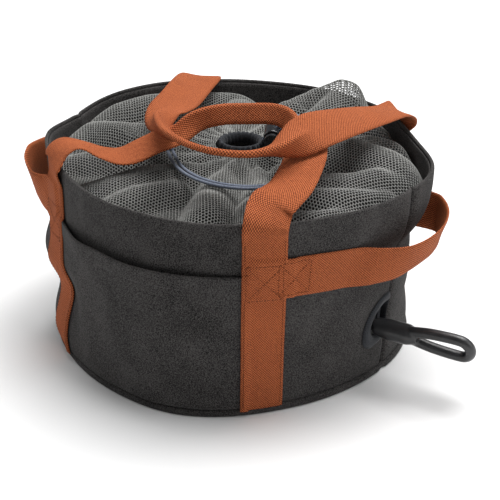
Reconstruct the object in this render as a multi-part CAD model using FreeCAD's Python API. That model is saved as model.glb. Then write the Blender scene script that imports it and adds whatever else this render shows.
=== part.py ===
"""Round canvas rope bag: stiff base, mesh drawcord top, webbing straps and handles, rope in place.

Frame: origin at the middle of the base's underside, +Z up, -Y to the front (the pocket side).
An azimuth is an angle about Z from the front (-Y) towards the right (+X), in degrees.
"""
import FreeCAD, Part
import math
import os

Vector = FreeCAD.Vector

# ---------------------------------------------------------------- driving dimensions, in mm
RIM_HEIGHT = 190.0
BASE_RADIUS = 168.0
RIM_RADIUS = 180.0
CANVAS = 3.0                 # two layers of canvas and their foam
GAP = 0.3                    # air between pieces that lie on each other

BASE_PANEL = 3.0
STIFFENER = 2.5
BINDING_HEIGHT = 7.0
BINDING_OUT = 2.5            # how far the piping stands proud of the wall's foot

WEBBING = 38.0               # 1.5 inch webbing
WEBBING_THICK = 2.0
LEG_AZIMUTHS = {"front_left": -42.0, "front_right": 38.0, "back_right": 143.0, "back_left": -138.0}

FACING_BOTTOM = 160.0        # the plain canvas band inside the rim
MESH_SEAM = 162.0
MESH_THICK = 2.5
THROAT = Vector(2.0, 6.0, 186.0)
CHANNEL_RADIUS = 19.0        # middle of the gathered hem
CHANNEL_SECTION = 5.5
CORD_TUNNEL = 2.6

POCKET_FROM = -35.0
POCKET_TO = 31.0
POCKET_MOUTH = 142.0
POCKET_HEM = 14.0
POCKET_BULGE = 9.0
POCKET_THICK = 2.0

PORT_AZIMUTH = 81.0
PORT_HEIGHT = 60.0
PORT_RADIUS = 17.0
PORT_BINDING = 4.0

CORD = 3.0
LOCK_RADIUS = 8.5
LOCK_LENGTH = 18.0
BUTTON_TRAVEL = 3.0

ROPE = 10.0
COIL_MEAN = 104.0            # radius of the middle of the coil
COIL_BAND = 44.0             # four turns wide
COIL_HEIGHT = 44.0           # four turns high

# ---------------------------------------------------------------- helpers
def wall_radius(z):
    """Radius of the wall's outer face at a height."""
    return BASE_RADIUS + (RIM_RADIUS - BASE_RADIUS) * z / RIM_HEIGHT


def heading(azimuth, rise=0.0):
    """Unit vector that points away from the bag's axis at an azimuth, tipped up by rise."""
    a = math.radians(azimuth)
    return Vector(math.sin(a), -math.cos(a), rise).normalize()


def on_wall(azimuth, z, off=0.0):
    """Point off millimetres outside the wall's outer face."""
    flat = heading(azimuth) * (wall_radius(z) + off)
    return Vector(flat.x, flat.y, z)


def cone_shell(inner, outer, low, high):
    """Shell that follows the wall between two offsets from its outer face."""
    def cone(off):
        return Part.makeCone(wall_radius(low) + off, wall_radius(high) + off, high - low,
                             Vector(0, 0, low))
    return cone(outer).cut(cone(inner))


def sector(start, end):
    """Tall wedge about the bag's axis between two azimuths."""
    reach = 400.0
    steps = max(2, int((end - start) / 30.0) + 1)
    points = [Vector(0, 0, -50)]
    for i in range(steps + 1):
        flat = heading(start + (end - start) * i / steps) * reach
        points.append(Vector(flat.x, flat.y, -50))
    return Part.Face(Part.makePolygon(points + points[:1])).extrude(Vector(0, 0, 400))


def ring(centre, axis, inner, outer, length):
    """Flat tube about an axis, centred on a point."""
    start = centre - axis * (length / 2)
    return Part.makeCylinder(outer, length, start, axis).cut(
        Part.makeCylinder(inner, length, start, axis))


def curve(points, steps):
    """Points of a smooth curve that passes through the given ones."""
    padded = [points[0] * 2 - points[1]] + list(points) + [points[-1] * 2 - points[-2]]
    out = []
    for i in range(len(points) - 1):
        a, b, c, d = padded[i:i + 4]
        for k in range(steps):
            t = k / steps
            out.append((b * 2 + (c - a) * t + (a * 2 - b * 5 + c * 4 - d) * (t * t)
                        + (b * 3 - a - c * 3 + d) * (t * t * t)) * 0.5)
    return out + [points[-1]]


def triangles_solid(rings):
    """Closed solid through a row of four-cornered sections, faced with triangles."""
    faces = []

    def facet(*corners):
        faces.append(Part.Face(Part.makePolygon(list(corners) + [corners[0]])))

    for near, far in zip(rings, rings[1:]):
        for i in (0, 1, 3):
            j = (i + 1) % 4
            facet(near[i], near[j], far[j])
            facet(near[i], far[j], far[i])
        facet(near[2], near[3], far[2])       # the same diagonal as the face on the other side
        facet(near[3], far[3], far[2])
    for end in (rings[0], rings[-1]):
        facet(end[0], end[1], end[2])
        facet(end[0], end[2], end[3])
    solid = Part.Solid(Part.Shell(faces))
    if solid.Volume < 0:
        solid.reverse()
    return solid


def ribbon(stations, thick=WEBBING_THICK, steps=4):
    """Webbing along stations of (middle point, direction its face looks, width)."""
    middles = curve([s[0] for s in stations], steps)
    looks = curve([s[1] for s in stations], steps)
    widths = [w.x for w in curve([Vector(s[2], 0, 0) for s in stations], steps)]
    rings = []
    for i, middle in enumerate(middles):
        along = middles[min(i + 1, len(middles) - 1)] - middles[max(i - 1, 0)]
        side = looks[i].cross(along).normalize() * (widths[i] / 2)
        face = along.cross(side).normalize() * (thick / 2)
        rings.append([middle - side - face, middle + side - face,
                      middle + side + face, middle - side + face])
    return triangles_solid(rings)


def rounded_route(points):
    """Straight runs joined by the largest tangent arcs, and the smallest arc's radius."""
    edges = []
    smallest = None
    start = points[0]
    for before, corner, after in zip(points, points[1:], points[2:]):
        back = (before - corner)
        ahead = (after - corner)
        turn = math.pi - back.getAngle(ahead)
        cut = 0.45 * min(back.Length, ahead.Length)
        radius = cut / math.tan(turn / 2)
        back.normalize()
        ahead.normalize()
        enter = corner + back * cut
        leave = corner + ahead * cut
        bisector = (back + ahead).normalize()
        centre = corner + bisector * (radius / math.cos(turn / 2))
        middle = centre - bisector * radius
        edges.append(Part.LineSegment(start, enter).toShape())
        edges.append(Part.Arc(enter, middle, leave).toShape())
        start = leave
        smallest = radius if smallest is None else min(smallest, radius)
    edges.append(Part.LineSegment(start, points[-1]).toShape())
    return Part.Wire(edges), smallest


def tube(name, points, diameter):
    """Round cord along a rounded route."""
    route, smallest = rounded_route(points)
    section = Part.Wire(Part.Circle(points[0], points[1] - points[0], diameter / 2).toShape())
    solid = route.makePipeShell([section], True, False, 2)
    expected = math.pi * diameter ** 2 / 4 * route.Length
    print("%s: length %.0f, smallest radius %.1f (%.1f diameters), volume %.0f for %.0f"
          % (name, route.Length, smallest, smallest / diameter, solid.Volume, expected))
    return solid


# ---------------------------------------------------------------- shell of the bag
def make_base():
    """Canvas floor, the board in it and the piping round its edge."""
    foot = BASE_RADIUS - CANVAS + GAP
    panel = Part.makeCylinder(foot, BASE_PANEL)
    board = Part.makeCylinder(foot - 6.0, STIFFENER, Vector(0, 0, BASE_PANEL))
    piping = Part.makeCylinder(BASE_RADIUS + BINDING_OUT, BINDING_HEIGHT).cut(
        Part.makeCylinder(foot + GAP, BINDING_HEIGHT))
    edge = [e for e in piping.Edges if abs(e.BoundBox.XMax - BASE_RADIUS - BINDING_OUT) < 0.01
            and e.Curve.TypeId == "Part::GeomCircle"]
    return {"base_panel": panel, "base_board": board, "base_binding": piping.makeFillet(1.6, edge)}


def make_walls():
    """Front and back wall panels, with the rope port cut in the front one."""
    shell = cone_shell(-CANVAS, 0.0, BINDING_HEIGHT + GAP, RIM_HEIGHT)
    half = 90.0 - 0.1
    front = shell.common(sector(-half, half))
    back = shell.common(sector(180.0 - half, 180.0 + half))
    out = heading(PORT_AZIMUTH)
    middle = on_wall(PORT_AZIMUTH, PORT_HEIGHT)
    port = Part.makeCylinder(PORT_RADIUS + PORT_BINDING + GAP, 40.0, middle - out * 20.0, out)
    return {"wall_front": front.cut(port), "wall_back": back}


def make_trim():
    """Facing inside the rim, seam tapes and the bound edge of the port."""
    inside = -CANVAS - GAP
    nodes = {"rim_facing": cone_shell(inside - 2.0, inside, FACING_BOTTOM, RIM_HEIGHT - 1.0)}
    for side, azimuth in (("left", -90.0), ("right", 94.0)):
        tape = cone_shell(inside - 1.2, inside, BINDING_HEIGHT + 1.0, FACING_BOTTOM - 2.0)
        nodes["seam_tape_" + side] = tape.common(sector(azimuth - 3.2, azimuth + 3.2))
    out = heading(PORT_AZIMUTH)
    middle = on_wall(PORT_AZIMUTH, PORT_HEIGHT, -CANVAS / 2)
    nodes["port_binding"] = ring(middle, out, PORT_RADIUS, PORT_RADIUS + PORT_BINDING, 10.0)
    return nodes


def pocket_slab(low, high, thick):
    """Part of the pocket panel: its arc runs from leg to leg and bows out towards the mouth."""
    wires = []
    for z in (low, high):
        bulge = POCKET_BULGE * z / POCKET_MOUTH
        mid_azimuth = (POCKET_FROM + POCKET_TO) / 2
        ends = [on_wall(a, z, 0.5) for a in (POCKET_FROM, POCKET_TO)]
        outer = [on_wall(a, z, 0.5 + thick) for a in (POCKET_FROM, POCKET_TO)]
        inner_arc = Part.Arc(ends[0], on_wall(mid_azimuth, z, 0.5 + bulge), ends[1]).toShape()
        outer_arc = Part.Arc(outer[1], on_wall(mid_azimuth, z, 0.5 + thick + bulge),
                             outer[0]).toShape()
        wires.append(Part.Wire([inner_arc, Part.makeLine(ends[1], outer[1]), outer_arc,
                                Part.makeLine(outer[0], ends[0])]))
    return Part.makeLoft(wires, True, True)


def make_pocket():
    """Slip pocket between the two front legs, with a turned hem along its mouth."""
    fold = POCKET_MOUTH - POCKET_HEM
    return {"front_pocket": pocket_slab(BINDING_HEIGHT + 1.0, fold, POCKET_THICK),
            "pocket_hem": pocket_slab(fold, POCKET_MOUTH, POCKET_THICK + 1.2)}


def make_legs():
    """The four sewn lengths of webbing, from under the foot to just over the rim."""
    nodes = {}
    for name, azimuth in LEG_AZIMUTHS.items():
        out = heading(azimuth)
        lift = GAP + WEBBING_THICK / 2
        stations = [(on_wall(azimuth, BINDING_HEIGHT + 1.0, lift), out, WEBBING),
                    (on_wall(azimuth, 70.0, lift), out, WEBBING),
                    (on_wall(azimuth, 130.0, lift), out, WEBBING),
                    (on_wall(azimuth, RIM_HEIGHT - 6.0, lift), out, WEBBING),
                    (on_wall(azimuth, RIM_HEIGHT + 1.0, 0.4), heading(azimuth, 1.0), WEBBING),
                    (on_wall(azimuth, RIM_HEIGHT + 2.2, -5.0), Vector(0, 0, 1), WEBBING)]
        nodes["leg_" + name] = ribbon(stations)
    return nodes


# ---------------------------------------------------------------- carry handles
# Middle of the webbing, the way its face looks, and its width. The arms are flat webbing; the
# grip is the same webbing folded along its length and sewn.
FRONT_ARM_LEFT = [
    ((-112, -123, 202), (-0.4, -0.45, 1), 38), ((-103, -115, 207), (-0.1, -0.15, 1), 38),
    ((-91, -106.5, 204.5), (0.2, 0.1, 1), 38), ((-78, -98, 199), (0.15, 0.1, 1), 38),
    ((-65, -88, 195.5), (-0.05, -0.1, 1), 38), ((-51, -76, 199.5), (-0.25, -0.5, 1), 38),
    ((-36, -63, 210), (-0.3, -0.7, 0.8), 30), ((-20, -51, 217.5), (0.2, -0.85, 0.6), 20)]
FRONT_GRIP = [
    ((-18, -50, 218), (0.3, -0.9, 0.5), 18), ((1, -36, 225), (0.4, -0.9, 0.2), 18),
    ((21, -22, 228), (0.5, -0.8, 0.1), 18), ((45, -10, 228), (0.5, -0.8, 0.1), 18),
    ((63, -10.6, 226), (0.3, -0.8, 0.5), 18)]
FRONT_ARM_RIGHT = [
    ((68, -12, 225), (0.3, -0.8, 0.5), 20), ((88, -32, 221), (-0.1, -0.5, 1), 28),
    ((102, -54, 216), (0, -0.45, 1), 38), ((109, -78, 210), (0, -0.4, 1), 38),
    ((113, -99, 206), (0.1, 0, 1), 38), ((115, -119, 204), (0.1, -0.2, 1), 38),
    ((114, -131, 201), (0.25, -0.3, 1), 38)]
BACK_ARM_LEFT = [
    ((-116, 124, 200), (0, 0.1, 1), 38), ((-113, 106, 201.5), (0, 0, 1), 38),
    ((-103, 72, 204), (0.05, 0, 1), 38), ((-92, 32, 209), (0, -0.1, 1), 38),
    ((-79, -8, 217), (-0.5, -0.2, 0.8), 34), ((-62, -42, 224), (-0.8, -0.4, 0.6), 24),
    ((-40, -72, 228.8), (-0.6, -0.7, 0.7), 15)]
BACK_GRIP = [
    ((-38, -74, 229), (-0.6, -0.7, 0.7), 14), ((-6, -99, 232), (-0.3, -0.9, 0.6), 14),
    ((27, -112, 233), (0.1, -0.9, 0.6), 14), ((57, -113, 234), (0.3, -0.8, 0.6), 14),
    ((76, -104, 234), (0.5, -0.6, 0.7), 14)]
BACK_ARM_RIGHT = [
    ((79, -102, 234), (0.5, -0.6, 0.7), 15), ((92, -82, 234), (0.5, -0.5, 0.8), 22),
    ((98, -54, 234), (0.2, -0.5, 1), 34), ((102, -24, 232), (0, -0.3, 1), 38),
    ((108, 10, 228), (-0.1, -0.1, 1), 38), ((112, 48, 222), (-0.1, 0.1, 1), 38),
    ((112, 88, 213), (0.1, 0.1, 1), 38), ((110, 122, 203), (0.1, 0.2, 1), 38)]


def from_table(table, side=1):
    """Stations of a table, mirrored left to right when side is -1."""
    return [(Vector(side * p[0], p[1], p[2]), Vector(side * n[0], n[1], n[2]), w)
            for p, n, w in table]


def make_carry_handles():
    """Two long handles that lie over the mesh, the back one on top."""
    grip_thick = 4.0
    return {"front_handle_arm_left": ribbon(from_table(FRONT_ARM_LEFT)),
            "front_handle_grip": ribbon(from_table(FRONT_GRIP), grip_thick),
            "front_handle_arm_right": ribbon(from_table(FRONT_ARM_RIGHT)),
            "back_handle_arm_left": ribbon(from_table(BACK_ARM_LEFT)),
            "back_handle_grip": ribbon(from_table(BACK_GRIP), grip_thick),
            "back_handle_arm_right": ribbon(from_table(BACK_ARM_RIGHT))}


# ---------------------------------------------------------------- grab handles at the sides
GRAB_END_FRONT_RIGHT = [
    ((129, -129, 138), (0.7, -0.71, 0), 38), ((143.5, -109, 137.5), (0.8, -0.6, 0), 38),
    ((155.8, -89.8, 135.5), (0.85, -0.52, 0), 38), ((166, -72.5, 133), (0.85, -0.52, -0.05), 38),
    ((176.1, -58, 131.2), (0.84, -0.48, -0.16), 38)]
GRAB_LOOP_RIGHT = [
    ((177.9, -55.5, 130.9), (0.84, -0.47, -0.18), 38), ((187.5, -42, 130), (0.85, -0.4, -0.3), 38),
    ((194, -27, 131), (0.88, -0.25, -0.42), 38), ((198.5, -8, 132.5), (0.92, -0.05, -0.42), 38),
    ((199, 12, 133), (0.93, 0.2, -0.36), 38), ((195, 32, 132), (0.85, 0.42, -0.28), 38),
    ((188.5, 50, 130), (0.82, 0.55, -0.2), 38), ((181.2, 64.1, 128.6), (0.8, 0.6, -0.11), 38)]
GRAB_END_BACK_RIGHT = [
    ((179.6, 66.8, 128.4), (0.8, 0.6, -0.09), 38), ((166, 86, 127), (0.8, 0.6, 0), 38),
    ((151, 105, 127), (0.8, 0.6, 0), 38), ((138, 119, 127), (0.74, 0.67, 0), 38)]
GRAB_END_FRONT_LEFT = [
    ((-134.2, -125, 156), (-0.72, -0.69, 0), 38), ((-141, -119, 157.5), (-0.62, -0.75, -0.2), 38),
    ((-148, -113, 160), (-0.55, -0.74, -0.36), 38), ((-152.5, -109.5, 162), (-0.57, -0.7, -0.4), 38)]
GRAB_LOOP_LEFT = [
    ((-154.5, -107.5, 163.4), (-0.58, -0.69, -0.42), 38), ((-160, -103.5, 166), (-0.63, -0.64, -0.42), 38),
    ((-169, -94.5, 168), (-0.75, -0.5, -0.4), 38), ((-177, -80, 164.5), (-0.88, -0.3, -0.3), 38),
    ((-183.5, -61, 159.5), (-0.95, -0.15, -0.2), 38), ((-188, -40, 154.5), (-0.97, -0.08, -0.15), 38),
    ((-190, -18, 149.5), (-0.98, 0, -0.15), 38), ((-190.5, 4, 144.5), (-0.98, 0.1, -0.15), 38),
    ((-189, 27, 139.5), (-0.95, 0.25, -0.15), 38), ((-185, 48, 135), (-0.88, 0.4, -0.15), 38),
    ((-179.1, 65.1, 132.4), (-0.8, 0.59, -0.13), 38)]
GRAB_END_BACK_LEFT = [
    ((-177.7, 67.8, 131.7), (-0.8, 0.6, -0.11), 38), ((-167, 85, 128.5), (-0.8, 0.6, 0), 38),
    ((-151, 105, 127), (-0.8, 0.6, 0), 38), ((-138, 119, 127), (-0.74, 0.67, 0), 38)]


def make_grab_handles():
    """Side handles: sewn ends that stay with the bag and a loop that swings."""
    return {"grab_end_right_front": ribbon(from_table(GRAB_END_FRONT_RIGHT)),
            "grab_loop_right": ribbon(from_table(GRAB_LOOP_RIGHT)),
            "grab_end_right_back": ribbon(from_table(GRAB_END_BACK_RIGHT)),
            "grab_end_left_front": ribbon(from_table(GRAB_END_FRONT_LEFT)),
            "grab_loop_left": ribbon(from_table(GRAB_LOOP_LEFT)),
            "grab_end_left_back": ribbon(from_table(GRAB_END_BACK_LEFT))}


# ---------------------------------------------------------------- mesh top and its drawcord
def make_mesh_top():
    """Mesh funnel from the rim facing to the gathered hem round the throat."""
    seam_radius = wall_radius(MESH_SEAM) - CANVAS - 2 * GAP - 2.0
    hem_side = CHANNEL_RADIUS + CHANNEL_SECTION + 0.7
    # radius, height and how much of the throat's offset each ring has
    profile = [(seam_radius - 0.2, MESH_SEAM, 0.0), (166.0, 174.0, 0.0), (150.0, 184.0, 0.1),
               (112.0, 187.0, 0.3), (66.0, 186.5, 0.7), (hem_side, 183.0, 1.0)]
    wires = []
    for radius, z, share in profile:
        wires.append(Part.Wire(Part.makeCircle(radius, Vector(THROAT.x * share, THROAT.y * share, z))))
    for radius, z, share in reversed(profile):
        middle = Vector(THROAT.x * share, THROAT.y * share, z - MESH_THICK)
        wires.append(Part.Wire(Part.makeCircle(radius, middle)))
    faces = []
    for near, far in zip(wires, wires[1:] + wires[:1]):
        faces.extend(Part.makeLoft([near, far], False, True).Faces)
    solid = Part.Solid(Part.Shell(faces))
    if solid.Volume < 0:
        solid.reverse()
    return {"mesh_top": solid}


CORD_EXIT = THROAT + Vector(21.0, 8.0, CHANNEL_SECTION - 0.5)
LOCK_ALONG = Vector(0.68, 0.18, 0.71).normalize()      # the way the doubled cord leaves the hem
LOCK_FACE = Vector(0.4, -0.9, -0.2)                     # the way the lock's button looks
LOCK_FACE = (LOCK_FACE - LOCK_ALONG * LOCK_FACE.dot(LOCK_ALONG)).normalize()
LOCK_SIDE = LOCK_ALONG.cross(LOCK_FACE)
LOCK_CENTRE = CORD_EXIT + LOCK_ALONG * 11.0
STRAND_HALF = 2.3                                       # half the spacing of the two strands


def make_channel():
    """Gathered hem round the throat, with the loop of drawcord in its tunnel."""
    up = Vector(0, 0, 1)
    hem = Part.makeTorus(CHANNEL_RADIUS, CHANNEL_SECTION, THROAT, up)
    tunnel = Part.makeTorus(CHANNEL_RADIUS, CORD_TUNNEL, THROAT, up)
    loop = Part.makeTorus(CHANNEL_RADIUS, CORD / 2, THROAT, up)
    mouth = Part.makeBox(18.0, 13.0, 14.0, THROAT + Vector(11.0, 2.0, -1.0))
    return {"drawcord_channel": hem.cut(tunnel).cut(mouth), "drawcord_loop": loop.cut(mouth)}


def make_cord_lock():
    """Barrel cord lock: body with a cross slot, sprung plunger and its spring."""
    def block(low, high, half_side):
        """Box through the lock along the cords, from low to high along the barrel."""
        side = LOCK_SIDE * half_side
        corners = [LOCK_CENTRE + LOCK_FACE * f + side * s - LOCK_ALONG * 20.0
                   for f, s in ((low, -1), (low, 1), (high, 1), (high, -1))]
        return Part.Face(Part.makePolygon(corners + corners[:1])).extrude(LOCK_ALONG * 40.0)

    def drum(radius, low, high):
        return Part.makeCylinder(radius, high - low, LOCK_CENTRE + LOCK_FACE * low, LOCK_FACE)

    half_slot = STRAND_HALF + CORD / 2 + 0.5
    lowest = -LOCK_LENGTH / 2
    highest = LOCK_LENGTH / 2
    body = drum(LOCK_RADIUS, lowest, highest)
    ends = [e for e in body.Edges if e.Curve.TypeId == "Part::GeomCircle"]
    body = body.makeFillet(1.2, ends).cut(drum(6.3, lowest + 1.5, highest + 1.0))
    body = body.cut(block(-2.2, 2.2, half_slot))
    head = highest + BUTTON_TRAVEL + 0.2
    plunger = drum(6.1, -4.0, head).fuse(drum(7.6, head, head + 3.0))
    plunger = plunger.cut(block(-2.2, 2.2 + BUTTON_TRAVEL, half_slot))
    spring = drum(5.0, lowest + 1.5, lowest + 1.9).cut(drum(3.6, lowest + 1.5, lowest + 1.9))
    return {"cord_lock_body": body, "cord_lock_button": plunger, "cord_lock_spring": spring}


# Middle line of the doubled drawcord after it has passed the lock: over a short arch, then
# along the top of the mesh under both handles to the knot.
CORD_TAIL = [
    (54.5, 21, 219), (64, 17.5, 217.5), (72.5, 9.5, 210.5), (79, -2, 202), (85, -17, 194.5),
    (89, -36, 190), (87, -58, 189.6), (76, -76, 189.6), (59, -88, 189.6), (38, -93, 189.6),
    (16, -91, 189.6), (-5, -82, 189.6), (-24, -67, 189.6), (-40, -49, 189.6)]


def strand_points(sign):
    """Route of one strand, beside the other all the way to the knot."""
    # nearly straight for 34 mm, so that the lock has room to slide
    first = [CORD_EXIT, CORD_EXIT + LOCK_ALONG * 17.0 + LOCK_FACE * 0.15,
             CORD_EXIT + LOCK_ALONG * 34.0]
    middle = first + [Vector(*p) for p in CORD_TAIL]
    points = []
    for i, here in enumerate(middle):
        along = middle[min(i + 1, len(middle) - 1)] - middle[max(i - 1, 0)]
        along.normalize()
        if i < 4:
            beside = LOCK_SIDE
        else:
            beside = Vector(-along.y, along.x, 0).normalize()
        points.append(here + beside * (sign * STRAND_HALF))
    return points


def make_drawcord():
    """Two strands from the hem through the lock to one knot."""
    nodes = {}
    for name, sign in (("left", -1), ("right", 1)):
        nodes["drawcord_strand_" + name] = tube("drawcord " + name, strand_points(sign), CORD)
    last = Vector(*CORD_TAIL[-1])
    along = (last - Vector(*CORD_TAIL[-2])).normalize()
    knot = Part.makeSphere(4.2, last + along * 4.0 + Vector(0, 0, 2.0))
    for shape in list(nodes.values()):
        knot = knot.cut(shape)
    nodes["drawcord_knot"] = knot
    return nodes


# ---------------------------------------------------------------- the stored rope
ROPE_ROUTE = [
    (173, -27, 54), (157, -27, 54), (141, -24.5, 52), (127, -16, 48.5), (116, -3, 44), (109, 13, 39)]


def make_rope():
    """Coil on the floor of the bag, the lead to the port and the eye outside it."""
    floor = BASE_PANEL + STIFFENER
    coil = Part.makeCylinder(COIL_MEAN + COIL_BAND / 2, COIL_HEIGHT, Vector(0, 0, floor)).cut(
        Part.makeCylinder(COIL_MEAN - COIL_BAND / 2, COIL_HEIGHT, Vector(0, 0, floor)))
    coil = coil.makeFillet(8.0, [e for e in coil.Edges if e.Curve.TypeId == "Part::GeomCircle"])
    lead = tube("rope lead", [Vector(*p) for p in ROPE_ROUTE], ROPE).cut(coil)
    lead = max(lead.Solids, key=lambda s: s.Volume)
    return {"rope_coil": coil, "rope_lead": lead, "rope_eye": make_eye()}


def make_eye():
    """Rubber-dipped eye: a thick neck that splits into two legs round a long hole."""
    root = Vector(*ROPE_ROUTE[0])
    along = Vector(1, 0, 0)
    wide = Vector(0, -0.35, 0.94).normalize()
    leg = 4.4
    spread = 9.2
    bend = root + along * 66.0
    neck = Part.makeCylinder(8.0, 20.0, root, along)
    neck = neck.makeFillet(1.5, [e for e in neck.Edges if e.Curve.TypeId == "Part::GeomCircle"])
    eye = neck
    for sign in (1, -1):
        start = root + along * 16.0 + wide * (sign * 3.2)
        end = bend + wide * (sign * spread)
        run = end - start
        eye = eye.fuse(Part.makeCylinder(leg, run.Length, start, run))
        eye = eye.fuse(Part.makeSphere(leg, end))
        eye = eye.fuse(Part.makeSphere(leg + 0.3, start))
    turn = Part.makeTorus(spread, leg, bend, along.cross(wide)).common(
        Part.makeBox(60.0, 120.0, 120.0, bend + Vector(0, -60.0, -60.0)))
    return eye.fuse(turn).removeSplitter()


# ---------------------------------------------------------------- export
def main():
    os.makedirs("parts", exist_ok=True)
    nodes = {}
    for make in (make_base, make_walls, make_trim, make_pocket, make_legs, make_carry_handles,
                 make_grab_handles, make_mesh_top, make_channel, make_cord_lock, make_drawcord,
                 make_rope):
        nodes.update(make())
    for name, shape in nodes.items():
        if len(shape.Solids) == 1:
            shape = shape.Solids[0]
        shape.exportStep("parts/%s.step" % name)
        print("%-26s solids %d valid %s volume %.0f"
              % (name, len(shape.Solids), shape.isValid(), shape.Volume))


main()
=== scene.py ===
"""Round canvas rope bag with a gathered mesh top: the looks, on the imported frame.

The tables are in millimetres in the part's own frame, and MM turns them into metres.
An azimuth is an angle about Z from the front (-Y) towards the right (+X), in degrees.
"""
import math
import bpy
import numpy as np
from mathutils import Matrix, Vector


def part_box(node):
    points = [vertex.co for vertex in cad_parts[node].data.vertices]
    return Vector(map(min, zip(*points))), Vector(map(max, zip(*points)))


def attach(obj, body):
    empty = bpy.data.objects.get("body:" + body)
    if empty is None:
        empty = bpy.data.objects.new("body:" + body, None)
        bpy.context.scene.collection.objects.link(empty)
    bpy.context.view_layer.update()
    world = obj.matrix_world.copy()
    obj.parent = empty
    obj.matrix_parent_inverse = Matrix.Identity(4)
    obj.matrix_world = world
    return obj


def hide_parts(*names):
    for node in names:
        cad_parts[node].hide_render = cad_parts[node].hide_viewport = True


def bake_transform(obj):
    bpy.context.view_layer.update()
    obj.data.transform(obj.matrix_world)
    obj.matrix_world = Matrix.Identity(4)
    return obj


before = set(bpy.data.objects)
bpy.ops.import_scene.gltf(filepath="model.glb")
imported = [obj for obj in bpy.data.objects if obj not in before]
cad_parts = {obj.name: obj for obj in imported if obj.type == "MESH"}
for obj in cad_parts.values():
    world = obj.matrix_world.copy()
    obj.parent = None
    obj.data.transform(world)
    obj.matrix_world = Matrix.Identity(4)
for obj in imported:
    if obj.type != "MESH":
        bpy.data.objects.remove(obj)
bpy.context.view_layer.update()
MM = 0.001


# ---------------------------------------------------------------- small helpers
def unit(v):
    v = np.asarray(v, float)
    return v / np.maximum(np.linalg.norm(v, axis=-1, keepdims=True), 1e-12)


def heading(azimuth):
    a = np.radians(np.asarray(azimuth, float))
    return np.stack([np.sin(a), -np.cos(a), np.zeros_like(a)], -1)


def azimuth_of(x, y):
    return np.degrees(np.arctan2(x, -y))


def smoothstep(x, low, high):
    t = np.clip((np.asarray(x, float) - low) / (high - low), 0, 1)
    return t * t * (3 - 2 * t)


def bell(x, width):
    return np.exp(-(np.asarray(x, float) / width) ** 2)


def wrapped(degrees):
    return (np.asarray(degrees, float) + 180.0) % 360.0 - 180.0


def around(pairs):
    """Smooth closed function of azimuth through (azimuth, value) pairs."""
    fine = np.arange(-180.0, 180.0)
    raw = np.interp(fine, [p[0] for p in pairs], [p[1] for p in pairs], period=360.0)
    kernel = bell(np.arange(-30, 31), 8.0)
    smooth = np.convolve(np.tile(raw, 3), kernel / kernel.sum(), "same")[360:720]
    return lambda azimuth: np.interp(azimuth, fine, smooth, period=360.0)


def through(rows, steps=16):
    """Smooth curve through rows of numbers."""
    rows = np.array(rows, float)
    padded = np.vstack([2 * rows[0] - rows[1], rows, 2 * rows[-1] - rows[-2]])
    t = np.linspace(0, 1, steps, endpoint=False)[:, None]
    out = []
    for a, b, c, d in zip(padded, padded[1:], padded[2:], padded[3:]):
        out.append(0.5 * (2 * b + (c - a) * t + (2 * a - 5 * b + 4 * c - d) * t ** 2
                          + (3 * b - a - 3 * c + d) * t ** 3))
    return np.vstack(out + [rows[-1:]])


def evenly(rows, step):
    """The same curve with points a fixed step apart, and the length up to each."""
    run = np.concatenate([[0], np.cumsum(np.linalg.norm(np.diff(rows[:, :3], axis=0), axis=1))])
    count = int(run[-1] / step) + 1
    at = np.linspace(0, run[-1], count)
    return np.stack([np.interp(at, run, rows[:, k]) for k in range(rows.shape[1])], -1), at


def full_turn(count):
    """Angles of this many even steps round a circle."""
    return np.linspace(0, 2 * math.pi, count + 1)[:-1]


def unit_rings(ahead, across, sides):
    """Circles square to the directions ahead; across is any direction that isn't along them."""
    side = unit(np.cross(ahead, across))
    up = np.cross(side, ahead)
    t = full_turn(sides)[None, :, None]
    return np.cos(t) * side[:, None] + np.sin(t) * up[:, None]


def bilinear(grid, u, v):
    """Values of a grid of numbers or points at fractional rows and columns."""
    u = np.clip(u, 0, grid.shape[0] - 1.001)
    v = np.clip(v, 0, grid.shape[1] - 1.001)
    i, j = u.astype(int), v.astype(int)
    fu, fv = u - i, v - j
    if grid.ndim == 3:
        fu, fv = fu[:, None], fv[:, None]
    return ((grid[i, j] * (1 - fu) + grid[i + 1, j] * fu) * (1 - fv)
            + (grid[i, j + 1] * (1 - fu) + grid[i + 1, j + 1] * fu) * fv)


# ---------------------------------------------------------------- materials
def new_material(name):
    made = bpy.data.materials.new(name)
    made.use_nodes = True
    return made, made.node_tree, made.node_tree.nodes["Principled BSDF"]


def math_node(tree, operation, a, b=None):
    node = tree.nodes.new("ShaderNodeMath")
    node.operation = operation
    for socket, value in zip(node.inputs, (a, b)):
        if value is None:
            continue
        if isinstance(value, (int, float)):
            socket.default_value = value
        else:
            tree.links.new(value, socket)
    return node.outputs[0]


def noise_node(tree, where, scale, detail=2.0, rough=0.5):
    node = tree.nodes.new("ShaderNodeTexNoise")
    node.inputs["Scale"].default_value = scale
    node.inputs["Detail"].default_value = detail
    node.inputs["Roughness"].default_value = rough
    tree.links.new(where, node.inputs["Vector"])
    return node.outputs["Fac"]


def ramp_node(tree, factor, stops):
    node = tree.nodes.new("ShaderNodeValToRGB")
    while len(node.color_ramp.elements) < len(stops):
        node.color_ramp.elements.new(0.5)
    for element, (at, colour) in zip(node.color_ramp.elements, stops):
        element.position = at
        element.color = (*colour, 1)
    tree.links.new(factor, node.inputs["Fac"])
    return node.outputs["Color"]


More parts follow.
